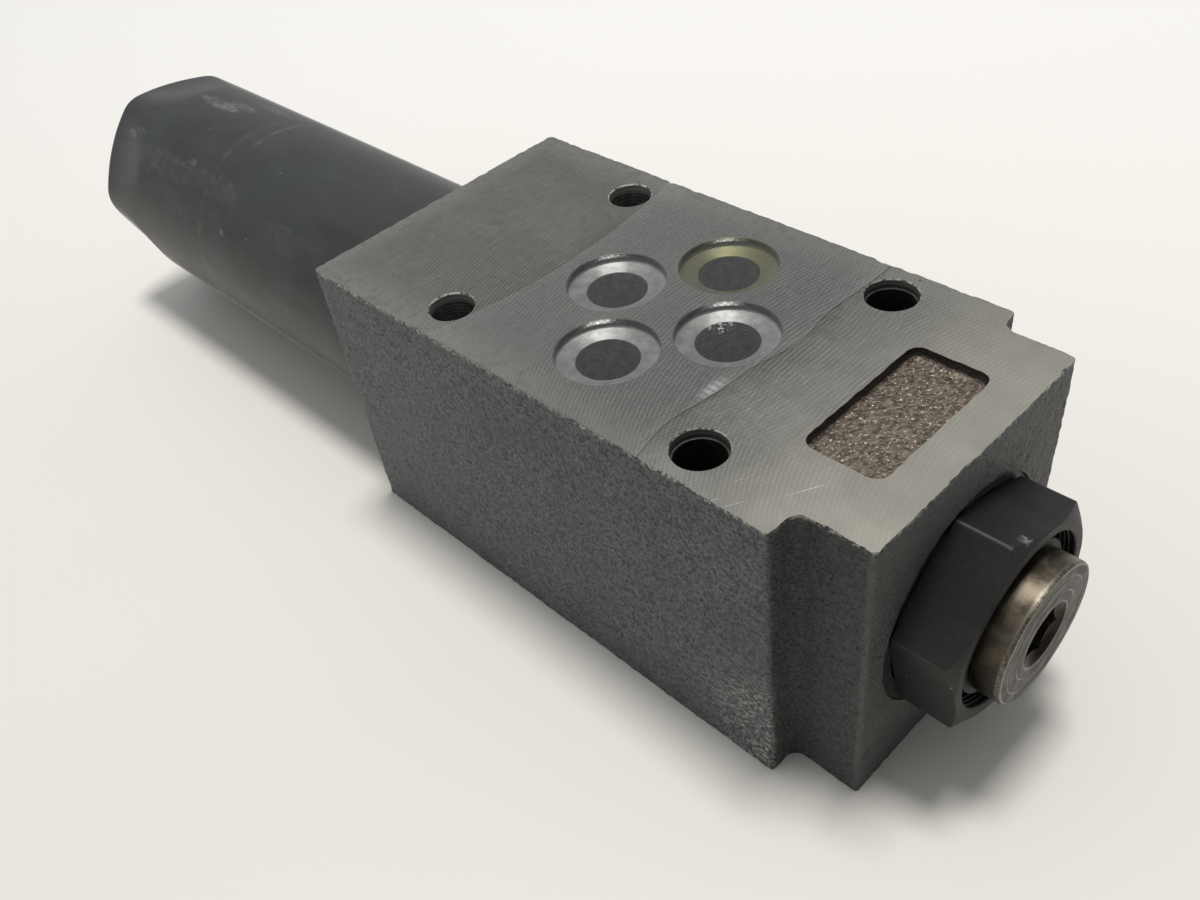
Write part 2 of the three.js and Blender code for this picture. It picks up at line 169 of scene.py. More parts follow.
def polygon_radius(across_flats, sides, flat_angle, angle):
    """Distance from the axis to a regular polygon's side, seen at an angle."""
    pitch = 2 * math.pi / sides
    offset = (angle - flat_angle + pitch / 2) % pitch - pitch / 2
    return across_flats / 2 / math.cos(offset)


def thread(pitch, depth, x_from, x_to):
    """A radius function for a real helical thread between two places on the axis."""
    def cut(x, r, angle, i):
        if not x_from <= x <= x_to:
            return r
        turn = (x / pitch - angle / (2 * math.pi)) % 1.0
        fade = min(1.0, (x - x_from) / 0.6, (x_to - x) / 0.6)
        return r - depth * fade * abs(2 * turn - 1)
    return cut


def rumble(x, y, z, scale, octaves=3):
    """Fractal noise at a place in millimetres, about -1 to 1. scale is its coarsest grain in mm."""
    return noise.fractal(Vector((x, y, z)) / scale, 1.0, 2.1, octaves)


# ---------- Material helpers ----------
class Shader:
    """One procedural material, with short calls for its nodes. Places are in millimetres."""

    def __init__(self, name):
        self.material = bpy.data.materials.new(name)
        self.material.use_nodes = True
        self.tree = self.material.node_tree
        self.tree.nodes.clear()
        self.surface = self.add("ShaderNodeBsdfPrincipled")
        self.output = self.add("ShaderNodeOutputMaterial")
        self.join(self.surface.outputs["BSDF"], self.output.inputs["Surface"])
        place = self.add("ShaderNodeTexCoord")
        self.place = self.stretch(place.outputs["Object"], (1000, 1000, 1000))
        split = self.add("ShaderNodeSeparateXYZ")
        self.join(self.place, split.inputs[0])
        self.x, self.y, self.z = split.outputs

    def add(self, kind, **settings):
        node = self.tree.nodes.new(kind)
        for key, value in settings.items():
            setattr(node, key, value)
        return node

    def join(self, source, target):
        self.tree.links.new(source, target)

    def feed(self, socket, value):
        if isinstance(value, bpy.types.NodeSocket):
            self.join(value, socket)
        else:
            socket.default_value = value

    def stretch(self, vector, scale, rotation=(0, 0, 0)):
        mapping = self.add("ShaderNodeMapping")
        mapping.inputs["Scale"].default_value = scale
        mapping.inputs["Rotation"].default_value = rotation
        self.join(vector, mapping.inputs["Vector"])
        return mapping.outputs[0]

    def noise(self, grain, detail=3, roughness=0.55, vector=None, distortion=0.0):
        """Noise with its coarsest grain in millimetres."""
        node = self.add("ShaderNodeTexNoise")
        node.inputs["Scale"].default_value = 1 / grain
        node.inputs["Detail"].default_value = detail
        node.inputs["Roughness"].default_value = roughness
        node.inputs["Distortion"].default_value = distortion
        self.join(vector or self.place, node.inputs["Vector"])
        return node.outputs["Fac"]

    def cells(self, size, vector=None, feature="F1", randomness=1.0):
        node = self.add("ShaderNodeTexVoronoi", feature=feature)
        node.inputs["Scale"].default_value = 1 / size
        node.inputs["Randomness"].default_value = randomness
        self.join(vector or self.place, node.inputs["Vector"])
        return node.outputs["Distance"]

    def waves(self, period, axis="X", distortion=0.0, vector=None, grain=1.0):
        node = self.add("ShaderNodeTexWave", bands_direction=axis)
        node.inputs["Scale"].default_value = 2 * math.pi / (20 * period)
        node.inputs["Distortion"].default_value = distortion
        node.inputs["Detail Scale"].default_value = grain
        self.join(vector or self.place, node.inputs["Vector"])
        return node.outputs["Fac"]

    def math(self, operation, a, b=0.0, clamp=False):
        node = self.add("ShaderNodeMath", operation=operation, use_clamp=clamp)
        self.feed(node.inputs[0], a)
        self.feed(node.inputs[1], b)
        return node.outputs[0]

    def ramp(self, value, low, high, to_low=0.0, to_high=1.0):
        """value carried from low..high to to_low..to_high, held at both ends."""
        node = self.add("ShaderNodeMapRange", interpolation_type="SMOOTHSTEP")
        self.feed(node.inputs["Value"], value)
        for key, number in zip(("From Min", "From Max", "To Min", "To Max"),
                               (low, high, to_low, to_high)):
            node.inputs[key].default_value = number
        return node.outputs["Result"]

    def mix(self, amount, a, b):
        """Colour a, going to colour b."""
        node = self.add("ShaderNodeMix", data_type="RGBA")
        self.feed(node.inputs[0], amount)
        for socket, value in ((node.inputs[6], a), (node.inputs[7], b)):
            self.feed(socket, (*value, 1) if isinstance(value, tuple) else value)
        return node.outputs[2]

    def ripple(self, value, period):
        """A wave from 0 to 1 along a value, repeating every period."""
        wave = self.math("SINE", self.math("MULTIPLY", value, 2 * math.pi / period))
        return self.ramp(wave, -1.0, 1.0)

    def distance(self, dx, dy):
        """The length of a pair of offsets."""
        square = self.math("ADD", self.math("MULTIPLY", dx, dx), self.math("MULTIPLY", dy, dy))
        return self.math("SQRT", square)

    def attribute(self, name):
        return self.add("ShaderNodeAttribute", attribute_name=name).outputs["Fac"]

    def bump(self, height, depth, strength=1.0, under=None):
        """Bump with its depth in millimetres."""
        node = self.add("ShaderNodeBump")
        node.inputs["Strength"].default_value = strength
        node.inputs["Distance"].default_value = depth * MM
        self.join(height, node.inputs["Height"])
        if under is not None:
            self.join(under, node.inputs["Normal"])
        return node.outputs["Normal"]

    def finish(self, color, roughness, metallic=0.0, normal=None, **fixed):
        inputs = self.surface.inputs
        self.feed(inputs["Base Color"], (*color, 1) if isinstance(color, tuple) else color)
        self.feed(inputs["Roughness"], roughness)
        self.feed(inputs["Metallic"], metallic)
        if normal is not None:
            self.join(normal, inputs["Normal"])
        for key, value in fixed.items():
            inputs[key.replace("_", " ")].default_value = value
        return self.material


# ---------- Materials ----------
def ground_iron():
    """Milled and ground grey iron: fine lines across, streaks, a duller oily end, some scratches, and a
    painted highlight towards the plug end.
    """
    s = Shader("ground_iron")
    off = s.math("SUBTRACT", s.y, MILL_OFFSET)
    arc = s.math("SQRT", s.math("SUBTRACT", MILL_R * MILL_R, s.math("MULTIPLY", off, off)))
    wobble = s.math("MULTIPLY", s.noise(3.0, 2, 0.5), 0.35)
    lines = s.ripple(s.math("ADD", s.math("ADD", s.x, arc), wobble), MILL_PITCH)
    back = s.ripple(s.math("ADD", s.math("SUBTRACT", s.x, arc), wobble), MILL_PITCH)
    fine = s.waves(0.17, "X", distortion=0.8, grain=0.7)
    across = s.stretch(s.place, (5.0, 0.2, 1.0))
    streaks = s.noise(1.0, 4, 0.7, across)
    along = s.stretch(s.place, (0.14, 3.6, 1.0), (0, 0, math.radians(3)))
    cross = s.noise(1.0, 3, 0.6, along)
    blotch = s.noise(9.0, 4, 0.62)
    mottle = s.noise(1.3, 4, 0.65)
    grit = s.noise(0.35, 2, 0.5)
    worn = s.math("ADD", s.x, s.math("MULTIPLY", blotch, 16.0))
    dull = s.ramp(worn, 30.0, -22.0)
    # Painted highlight: the face lighter towards the plug end, where the lamp's reflection falls.
    painted_highlight = s.ramp(s.x, 12.0, 41.0)
    rubbed = s.ramp(s.math("ABSOLUTE", s.y), 15.0, 20.5)
    rubbed = s.math("MAXIMUM", rubbed, s.ramp(s.x, HOUSING_LOW.x + 5.0, HOUSING_LOW.x))
    base = s.mix(s.ramp(streaks, 0.25, 0.75), (0.138, 0.139, 0.130), (0.272, 0.273, 0.257))
    base = s.mix(s.math("MULTIPLY", s.ramp(cross, 0.45, 0.75), 0.3), base, (0.27, 0.27, 0.255))
    marked = s.ramp(s.noise(13.0, 2, 0.5), 0.36, 0.56, 0.25, 1.0)
    groove = s.math("MULTIPLY", s.ramp(lines, 0.6, 0.0), marked)
    base = s.mix(s.math("MULTIPLY", groove, 0.62), base, (0.06, 0.06, 0.056))
    base = s.mix(s.math("MULTIPLY", s.ramp(back, 0.45, 0.0), 0.34), base, (0.06, 0.06, 0.056))
    base = s.mix(s.math("MULTIPLY", s.ramp(mottle, 0.45, 0.68), 0.42), base, (0.10, 0.10, 0.092))
    base = s.mix(s.math("MULTIPLY", s.ramp(grit, 0.60, 0.70), 0.35), base, (0.33, 0.33, 0.31))
    base = s.mix(s.math("MULTIPLY", dull, 0.4), base, (0.138, 0.137, 0.124))
    base = s.mix(s.math("MULTIPLY", painted_highlight, 0.72), base, (0.47, 0.447, 0.388))
    rubbed = s.math("MULTIPLY", rubbed, s.ramp(mottle, 0.3, 0.6, 0.1, 0.5))
    base = s.mix(rubbed, base, (0.30, 0.295, 0.265))
    wet = s.math("MULTIPLY", s.ramp(s.math("ABSOLUTE", s.x), 19.5, 12.0), 0.24)
    base = s.mix(wet, base, (0.02, 0.021, 0.018))
    spots = s.ramp(s.cells(4.5), 0.05, 0.03)
    base = s.mix(s.math("MULTIPLY", spots, 0.7), base, (0.03, 0.03, 0.028))
    slanted = s.stretch(s.place, (1.0, 1.0, 1.0), (0, 0, math.radians(-60)))
    hairline = s.noise(1.0, 1, 0.4, s.stretch(slanted, (0.09, 4.2, 1.0)))
    patch = s.math("MULTIPLY", s.ramp(s.x, 22.5, 25.0), s.ramp(s.y, -10.0, -14.0))
    patch = s.math("MULTIPLY", patch, s.ramp(s.x, 34.0, 31.0))
    scratch = s.math("MULTIPLY", s.ramp(hairline, 0.70, 0.73), patch)
    base = s.mix(scratch, base, (0.75, 0.74, 0.70))
    rough = s.math("ADD", s.ramp(blotch, 0.3, 0.7, 0.34, 0.44), s.math("MULTIPLY", dull, 0.10))
    height = s.math("ADD", s.math("MULTIPLY", lines, 0.7), s.math("MULTIPLY", fine, 0.3))
    height = s.math("ADD", height, streaks)
    height = s.math("ADD", height, s.math("MULTIPLY", cross, 0.6))
    height = s.math("ADD", height, s.math("MULTIPLY", grit, 0.4))
    normal = s.bump(height, 0.014, 0.9)
    return s.finish(base, rough, 0.85, normal)


def cast_iron():
    """Sand-cast skin: dark blue-grey, grainy, with pits and bright broken metal at the milled rim; painted
    shade in the pits and the notch, painted light towards the spring end and on the end face.
    """
    s = Shader("cast_iron")
    grain = s.noise(0.42, 4, 0.68)
    fine = s.noise(0.14, 2, 0.6)
    blotch = s.noise(8.0, 4, 0.6)
    rough_zone = s.ramp(s.noise(6.0, 3, 0.6), 0.40, 0.62)
    pits = s.math("ADD", s.cells(0.95), s.math("MULTIPLY", s.noise(0.5, 2, 0.6), 0.25))
    depth = s.math("ADD", 0.35, s.math("MULTIPLY", rough_zone, 0.6))
    # Painted shade: the pits darkened almost to black, as the shade inside them.
    pit = s.math("MULTIPLY", s.ramp(pits, 0.34, 0.20), depth)
    base = s.mix(s.ramp(grain, 0.34, 0.66), (0.036, 0.0425, 0.0450), (0.165, 0.188, 0.191))
    base = s.mix(s.math("MULTIPLY", s.ramp(blotch, 0.35, 0.7), 0.35), base, (0.072, 0.083, 0.085))
    base = s.mix(pit, base, (0.014, 0.015, 0.014))
    base = s.mix(s.math("MULTIPLY", s.ramp(fine, 0.60, 0.70), 0.5), base, (0.36, 0.375, 0.365))
    # Painted light: the near side lighter and bluer towards the spring end, where more light falls.
    bluish_painted_light = s.ramp(s.x, 10.0, -42.0)
    base = s.mix(s.math("MULTIPLY", bluish_painted_light, 0.28), base, (0.150, 0.166, 0.168))
    # Painted shade: the notch beside the plug darkened, where it lies in shade.
    step = s.math("MULTIPLY", s.ramp(s.x, STEP_X - 1.2, STEP_X + 0.4), s.ramp(s.y, 0.0, -10.0))
    base = s.mix(s.math("MULTIPLY", step, 0.5), base, (0.032, 0.032, 0.025))
    # Painted light: the end face at the plug lightened, standing in for light from that side.
    lit_end_face = s.ramp(s.x, HOUSING_HIGH.x - 1.0, HOUSING_HIGH.x - 0.5)
    base = s.mix(s.math("MULTIPLY", lit_end_face, 0.6), base, (0.13, 0.138, 0.130))
    spark = s.ramp(s.noise(0.28, 2, 0.5, s.stretch(s.place, (0.6, 1.0, 1.3))), 0.55, 0.61)
    rub = s.math("MULTIPLY", s.ramp(s.x, 20.0, 31.0), s.ramp(s.z, 19.0, 9.0))
    rub = s.math("MULTIPLY", rub, s.ramp(s.y, -20.0, -21.0))
    rub = s.math("MULTIPLY", rub, spark)
    rim = s.ramp(s.z, TOP_Z - 0.7, TOP_Z - 0.1)
    torn = s.math("MULTIPLY", rim, s.ramp(s.noise(0.5, 3, 0.6), 0.50, 0.60))
    bare = s.math("ADD", rub, torn, clamp=True)
    base = s.mix(bare, base, (0.52, 0.52, 0.48))
    height = s.math("ADD", grain, s.math("MULTIPLY", fine, 0.35))
    height = s.math("SUBTRACT", height, s.math("MULTIPLY", pit, 0.8))
    normal = s.bump(height, 0.45, 1.0)
    rough = s.ramp(grain, 0.3, 0.7, 0.6, 0.45)
    metal = s.math("ADD", 0.25, s.math("MULTIPLY", bare, 0.6))
    return s.finish(base, rough, metal, normal)


def pocket_iron():
    """The cast pocket: brown scale on a coarse floor with many small painted glints, and walls painted dark
    as shade.
    """
    s = Shader("pocket_iron")
    turned_grain = s.stretch(s.place, (1.0, 1.0, 1.0), (0, 0, math.radians(25)))
    long_grain = s.stretch(turned_grain, (1.0, 0.55, 1.0))
    grain = s.noise(0.45, 3, 0.6, long_grain)
    lumps = s.cells(0.8, long_grain)
    base = s.mix(s.ramp(grain, 0.36, 0.64), (0.050, 0.038, 0.027), (0.165, 0.130, 0.096))
    # Painted glints: small bright grains on the floor, standing in for reflections.
    spark = s.ramp(s.noise(0.2, 2, 0.6, long_grain), 0.60, 0.66)
    base = s.mix(s.math("MULTIPLY", spark, 0.6), base, (0.78, 0.70, 0.58))
    # Painted shade: the pocket's walls darkened almost to black.
    wall_shade = s.ramp(s.z, TOP_Z - 1.05, TOP_Z - 0.85)
    base = s.mix(wall_shade, base, (0.022, 0.019, 0.015))
    height = s.math("SUBTRACT", grain, s.math("MULTIPLY", lumps, 0.4))
    normal = s.bump(height, 0.22, 1.0)
    return s.finish(base, s.ramp(spark, 0.0, 1.0, 0.5, 0.25), 0.3, normal)


def recess_iron():
    """The seal recesses' floors: turned, lighter than the face around them, with their walls painted dark
    as shade.
    """
    s = Shader("recess_iron")
    away = {}
    for key, (x, y) in PORTS.items():
        away[key] = s.distance(s.math("SUBTRACT", s.x, x), s.math("SUBTRACT", s.y, y))
    nearest = away["A"]
    for key in "BPT":
        nearest = s.math("MINIMUM", nearest, away[key])
    lines = s.math("SINE", s.math("MULTIPLY", nearest, 2 * math.pi / 0.22))
    blotch = s.noise(1.5, 3, 0.6)
    oily = s.ramp(away["P"], 6.6, 6.3)
    base = s.mix(s.ramp(blotch, 0.3, 0.7), (0.20, 0.202, 0.196), (0.30, 0.302, 0.292))
    # Painted shade: the recess walls darkened, where shade falls.
    wall_shade = s.ramp(s.z, RECESS_FLOOR + 0.1, RECESS_FLOOR + 0.3)
    base = s.mix(s.math("MULTIPLY", wall_shade, 0.8), base, (0.05, 0.05, 0.048))
    base = s.mix(s.math("MULTIPLY", oily, 0.9), base, (0.105, 0.100, 0.034))
    normal = s.bump(lines, 0.008, 0.7)
    return s.finish(base, 0.42, 0.75, normal)


def bore_iron():
    """Drilled walls: painted dark as shade below the top millimetre, lighter near the top, with rings from
    the drill.
    """
    s = Shader("bore_iron")
    rings = s.waves(0.5, "Z", distortion=1.5)
    blotch = s.noise(1.2, 3, 0.6)
    # Painted shade: the walls near black below the top, lighter at the top where light reaches.
    rim = s.ramp(s.z, TOP_Z - 1.25, TOP_Z - 0.9)
    base = s.mix(s.ramp(blotch, 0.3, 0.7), (0.018, 0.018, 0.017), (0.05, 0.05, 0.048))
    base = s.mix(s.math("MULTIPLY", rim, 0.85), base, (0.11, 0.11, 0.102))
    broken = s.ramp(s.noise(0.6, 3, 0.6), 0.42, 0.55)
    edge = s.math("MULTIPLY", s.ramp(s.z, TOP_Z - 0.2, TOP_Z - 0.08), broken)
    base = s.mix(edge, base, (0.6, 0.59, 0.55))
    normal = s.bump(rings, 0.03, 0.6)
    return s.finish(base, 0.5, 0.5, normal)


def black_oxide(name, light, dark, roughness, painted_floor_glow=0.0):
    """Black-oxide steel: satin, with faint turned lines, cloudy wear, and scuffs kept on the mesh (on the
    hex plug these also carry painted corner highlights); a painted floor reflection on the lower side,
    painted sky sheen on the upper side, and a painted highlight at the silhouette.
    """
    s = Shader(name)
    lines = s.waves(0.16, "X", distortion=0.8)
    cloud = s.noise(16.0, 3, 0.5)
    fine = s.noise(0.45, 3, 0.65)
    smear = s.noise(1.0, 4, 0.65, s.stretch(s.place, (0.09, 0.3, 0.3)))
    base = s.mix(s.ramp(cloud, 0.34, 0.66), dark, light)
    pale, paler = tuple(c * 1.7 for c in light), tuple(c * 1.9 for c in light)
    base = s.mix(s.math("MULTIPLY", s.ramp(smear, 0.45, 0.75), 0.35), base, pale)
    base = s.mix(s.math("MULTIPLY", s.ramp(fine, 0.5, 0.75), 0.3), base, paler)
    if painted_floor_glow:
        # Painted reflection: the lower side lighter and warmer, as the pale table reflected in it.
        low = s.ramp(s.z, AXIS_Z + 2.0, AXIS_Z - 15.0)
        base = s.mix(s.math("MULTIPLY", low, painted_floor_glow), base, (0.085, 0.080, 0.070))
        # Painted reflection: patches of bluish sheen on the upper side.
        upper = s.ramp(s.z, AXIS_Z - 2, AXIS_Z + 5)
        painted_sky_sheen = s.math("MULTIPLY", s.ramp(s.noise(9.0, 2, 0.4), 0.40, 0.68), upper)
        base = s.mix(s.math("MULTIPLY", painted_sky_sheen, 0.4), base, (0.050, 0.060, 0.064))
    # The scuff marks are wear; on the hex plug they also carry the painted corner highlights.
    scuff = s.math("MULTIPLY", s.attribute("scuff"), s.ramp(smear, 0.25, 0.62, 0.25, 1.0))
    base = s.mix(scuff, base, (0.27, 0.275, 0.265))
    # Painted highlight: lighter where the surface turns away at the silhouette.
    rim = s.add("ShaderNodeLayerWeight")
    base = s.mix(s.ramp(rim.outputs["Facing"], 0.86, 0.99, 0.0, 0.6), base, (0.42, 0.42, 0.40))
    specks = s.ramp(s.cells(3.3), 0.05, 0.035)
    base = s.mix(s.math("MULTIPLY", specks, 0.5), base, (0.36, 0.36, 0.34))
    rough = s.math("ADD", s.ramp(cloud, 0.3, 0.7, roughness - 0.04, roughness + 0.05),
                   s.math("MULTIPLY", fine, 0.06))
    height = s.math("ADD", s.math("MULTIPLY", lines, 0.2), fine)
    normal = s.bump(height, 0.006, 0.8)
    return s.finish(base, rough, 0.5, normal)


def turned_metal(name, light, dark, roughness=0.3, metallic=0.95, period=0.25, stain=None):
    """Turned or ground steel: fine rings, small blotches, and a stain where one is given."""
    s = Shader(name)
    lines = s.waves(period, "X", distortion=1.0)
    blotch = s.noise(2.2, 4, 0.65)
    fine = s.noise(0.4, 3, 0.6)
    base = s.mix(s.ramp(blotch, 0.3, 0.7), dark, light)
    if stain:
        base = s.mix(s.math("MULTIPLY", s.ramp(s.noise(1.1, 4, 0.7), 0.5, 0.72), 0.55), base, stain)
    rough = s.ramp(blotch, 0.3, 0.7, roughness - 0.05, roughness + 0.1)
    height = s.math("ADD", s.math("MULTIPLY", lines, 0.5), s.math("MULTIPLY", fine, 0.5))
    normal = s.bump(height, 0.008, 0.6)
    return s.finish(base, rough, metallic, normal)


def gauge_steel():
    """The gauge plug: tarnished collar, painted darker on its lower side as shade, darker face with
    brighter turned rings, a painted highlight on the front edge, brown socket.
    """
    s = Shader("gauge_steel")
    away = s.distance(s.y, s.math("SUBTRACT", s.z, AXIS_Z))
    face = s.ramp(s.x, GAUGE_HIGH.x - 0.5, GAUGE_HIGH.x - 0.3)
    blotch = s.noise(2.0, 4, 0.65)
    fine = s.noise(0.35, 3, 0.6)
    collar = s.mix(s.ramp(blotch, 0.3, 0.7), (0.070, 0.057, 0.041), (0.165, 0.139, 0.102))
    # Painted shade: the collar darkened on its lower side.
    under = s.ramp(s.z, AXIS_Z + 5.5, AXIS_Z - 1.0)
    collar = s.mix(s.math("MULTIPLY", under, 0.88), collar, (0.020, 0.0175, 0.013))
    plain = s.mix(s.ramp(fine, 0.3, 0.7), (0.014, 0.0133, 0.0108), (0.028, 0.0265, 0.0215))
    rings = s.math("SINE", s.math("MULTIPLY", away, 2 * math.pi / 0.45))
    plain = s.mix(s.ramp(rings, 0.5, 1.0, 0.0, 0.25), plain, (0.09, 0.086, 0.074))
    for r, width in ((7.0, 0.14), (5.3, 0.16), (8.25, 0.12), (4.05, 0.12)):
        off = s.math("ABSOLUTE", s.math("SUBTRACT", away, r))
        plain = s.mix(s.ramp(off, width, 0.02, 0.0, 0.7), plain, (0.34, 0.33, 0.29))
    base = s.mix(face, collar, plain)
    # Painted highlight: a broken bright line round the front edge of the face.
    at_front = s.ramp(s.x, GAUGE_HIGH.x - 0.75, GAUGE_HIGH.x - 0.5)
    lip_highlight = s.math("MULTIPLY", s.ramp(away, 8.0, 8.25), at_front)
    lip_highlight = s.math("MULTIPLY", lip_highlight, s.ramp(fine, 0.35, 0.6, 0.1, 0.4))
    base = s.mix(lip_highlight, base, (0.36, 0.335, 0.28))
    hole = s.ramp(away, 3.75, 3.45)
    base = s.mix(hole, base, (0.046, 0.038, 0.027))
    height = s.math("ADD", s.math("MULTIPLY", rings, 0.4), fine)
    normal = s.bump(height, 0.01, 0.7)
    rough = s.ramp(blotch, 0.3, 0.7, 0.34, 0.48)
    return s.finish(base, rough, 0.85, normal)


def rubber():
    s = Shader("nitrile_rubber")
    fine = s.noise(0.5, 3, 0.6)
    base = s.mix(s.ramp(fine, 0.3, 0.7), (0.010, 0.010, 0.010), (0.024, 0.024, 0.023))
    return s.finish(base, s.ramp(fine, 0.3, 0.7, 0.55, 0.7), 0.0, s.bump(fine, 0.01, 0.5))


def clear_film():
    """Thin clear film: see-through, but for the sheen off its surface, a fine weave and some dust."""
    s = Shader("clear_film")
    weave = s.math("MULTIPLY", s.waves(0.62, "X", distortion=0.4), s.waves(0.5, "Y", distortion=0.4))
    crease = s.noise(2.5, 4, 0.6)
    height = s.math("ADD", s.math("MULTIPLY", weave, 0.3), s.math("MULTIPLY", crease, 0.5))
    normal = s.bump(height, 0.009, 0.7)
    tilt = s.add("ShaderNodeLayerWeight")
    sheen = s.ramp(tilt.outputs["Facing"], 0.0, 0.9, 0.012, 0.085)
    dust = s.ramp(s.cells(1.7), 0.045, 0.03, 0.0, 0.3)
    px, py = PORTS["B"]
    away = s.distance(s.math("SUBTRACT", s.x, px - 1.9), s.math("SUBTRACT", s.y, py + 0.9))
    crumbs = s.math("MULTIPLY", s.ramp(away, 1.9, 0.6), s.ramp(s.noise(0.35, 2, 0.6), 0.54, 0.62))
    dust = s.math("ADD", dust, s.math("MULTIPLY", crumbs, 0.55))
    veil = s.math("MULTIPLY", s.ramp(weave, 0.25, 0.8), 0.02)
    edge = s.attribute("edge")
    alpha = s.math("ADD", sheen, s.math("ADD", dust, veil))
    alpha = s.math("ADD", alpha, s.math("MULTIPLY", edge, 0.3))
    alpha = s.math("ADD", alpha, s.math("MULTIPLY", s.attribute("rib"), 0.5), clamp=True)
    base = s.mix(edge, (0.90, 0.93, 0.90), (0.06, 0.06, 0.06))
    material = s.finish(base, 0.26, 1.0, normal)
    s.feed(s.surface.inputs["Alpha"], alpha)
    return material


def floor_paint():
    s = Shader("pale_table")
    cloud = s.noise(160.0, 3, 0.5)
    base = s.mix(s.ramp(cloud, 0.3, 0.7), (0.78, 0.748, 0.69), (0.805, 0.775, 0.72))
    # Painted light: the table lighter towards the back and the spring end.
    far_painted_light = s.ramp(s.math("SUBTRACT", s.y, s.math("MULTIPLY", s.x, 0.5)), -140.0, 260.0)
    base = s.mix(far_painted_light, base, (0.95, 0.935, 0.905))
    return s.finish(base, 0.5, 0.0, s.bump(s.noise(3.0, 3, 0.5), 0.01, 0.3))


# ---------- Cast iron housing ----------
def rounded_outline(corners, step):
    """Points about step apart round an outline of (x, y, radius) corners, with outward normals."""
    path = []
    for i, (x, y, r) in enumerate(corners):
        here = Vector((x, y))
        before = (Vector(corners[i - 1][:2]) - here).normalized()
        after = (Vector(corners[(i + 1) % len(corners)][:2]) - here).normalized()
        half = before.angle(after) / 2
        centre = here + (before + after).normalized() * r / math.sin(half)
        first = here + before * r / math.tan(half) - centre
        last = here + after * r / math.tan(half) - centre
        sweep = math.atan2(first.x * last.y - first.y * last.x, first.dot(last))
        count = max(3, math.ceil(abs(sweep) * r / step))
        for k in range(count + 1):
            path.append(centre + Matrix.Rotation(sweep * k / count, 2) @ first)
    points = []
    for a, b in zip(path, path[1:] + path[:1]):
        count = max(1, math.ceil((b - a).length / step))
        points += [a.lerp(b, k / count) for k in range(count)]
    normals = []
    for i, point in enumerate(points):
        along = points[(i + 1) % len(points)] - points[i - 1]
        normals.append(Vector((along.y, -along.x)).normalized())
    return points, normals


def walls(name, points, normals, levels, push):
    """A closed block with these walls. push(point, z) moves a wall point outwards, in mm."""
    verts, faces = [], []
    count = len(points)
    for z in levels:
        for point, normal in zip(points, normals):
            out = point + normal * push(point.x, point.y, z)
            verts.append((out.x, out.y, z))
    for level in range(len(levels) - 1):
        for i in range(count):
            j = (i + 1) % count
            a, b = level * count, (level + 1) * count
            faces.append((a + i, a + j, b + j, b + i))
    faces.append(tuple(range(count))[::-1])
    faces.append(tuple(range(len(verts) - count, len(verts))))
    return make_object(name, verts, faces)


def cylinder_z(name, x, y, profile, segments=96):
    """A cutter turned about a vertical line, from (z, r) points that are all off the line."""
    verts, faces = [], []
    for z, r in profile:
        for s in range(segments):
            angle = 2 * math.pi * s / segments
            verts.append((x + r * math.cos(angle), y + r * math.sin(angle), z))
    for level in range(len(profile) - 1):
        for s in range(segments):
            t = (s + 1) % segments
            a, b = level * segments, (level + 1) * segments
            faces.append((a + s, a + t, b + t, b + s))
    faces.append(tuple(range(segments))[::-1])
    faces.append(tuple(range(len(verts) - segments, len(verts))))
    return make_object(name, verts, faces)


def subtract(body, cutters):
    for cutter in cutters:
        modifier = body.modifiers.new(cutter.name, "BOOLEAN")
        modifier.operation = "DIFFERENCE"
        modifier.solver = "MANIFOLD"
        modifier.object = cutter
    apply_modifiers(body)
    for cutter in cutters:
        bpy.data.objects.remove(cutter)


def apply_modifiers(piece):
    depsgraph = bpy.context.evaluated_depsgraph_get()
    applied = bpy.data.meshes.new_from_object(piece.evaluated_get(depsgraph))
    piece.modifiers.clear()
    piece.data = applied


def cast_skin(x, y, z):
    """How far the sand-cast skin stands out of its nominal face, in mm."""
    grain = rumble(x, y, z, 0.95, 3)
    wave = rumble(x, y, z, 9.0, 2)
    pit = max(0.0, rumble(x + 50, y, z, 2.6, 2) - 0.42)
    chip = max(0.0, rumble(x, y + 20, z, 0.8, 2)) * max(0.0, 1 - (TOP_Z - z) / 1.6)
    return min(0.0, -0.11 + 0.10 * grain + 0.07 * wave - 0.5 * pit - 0.22 * chip)


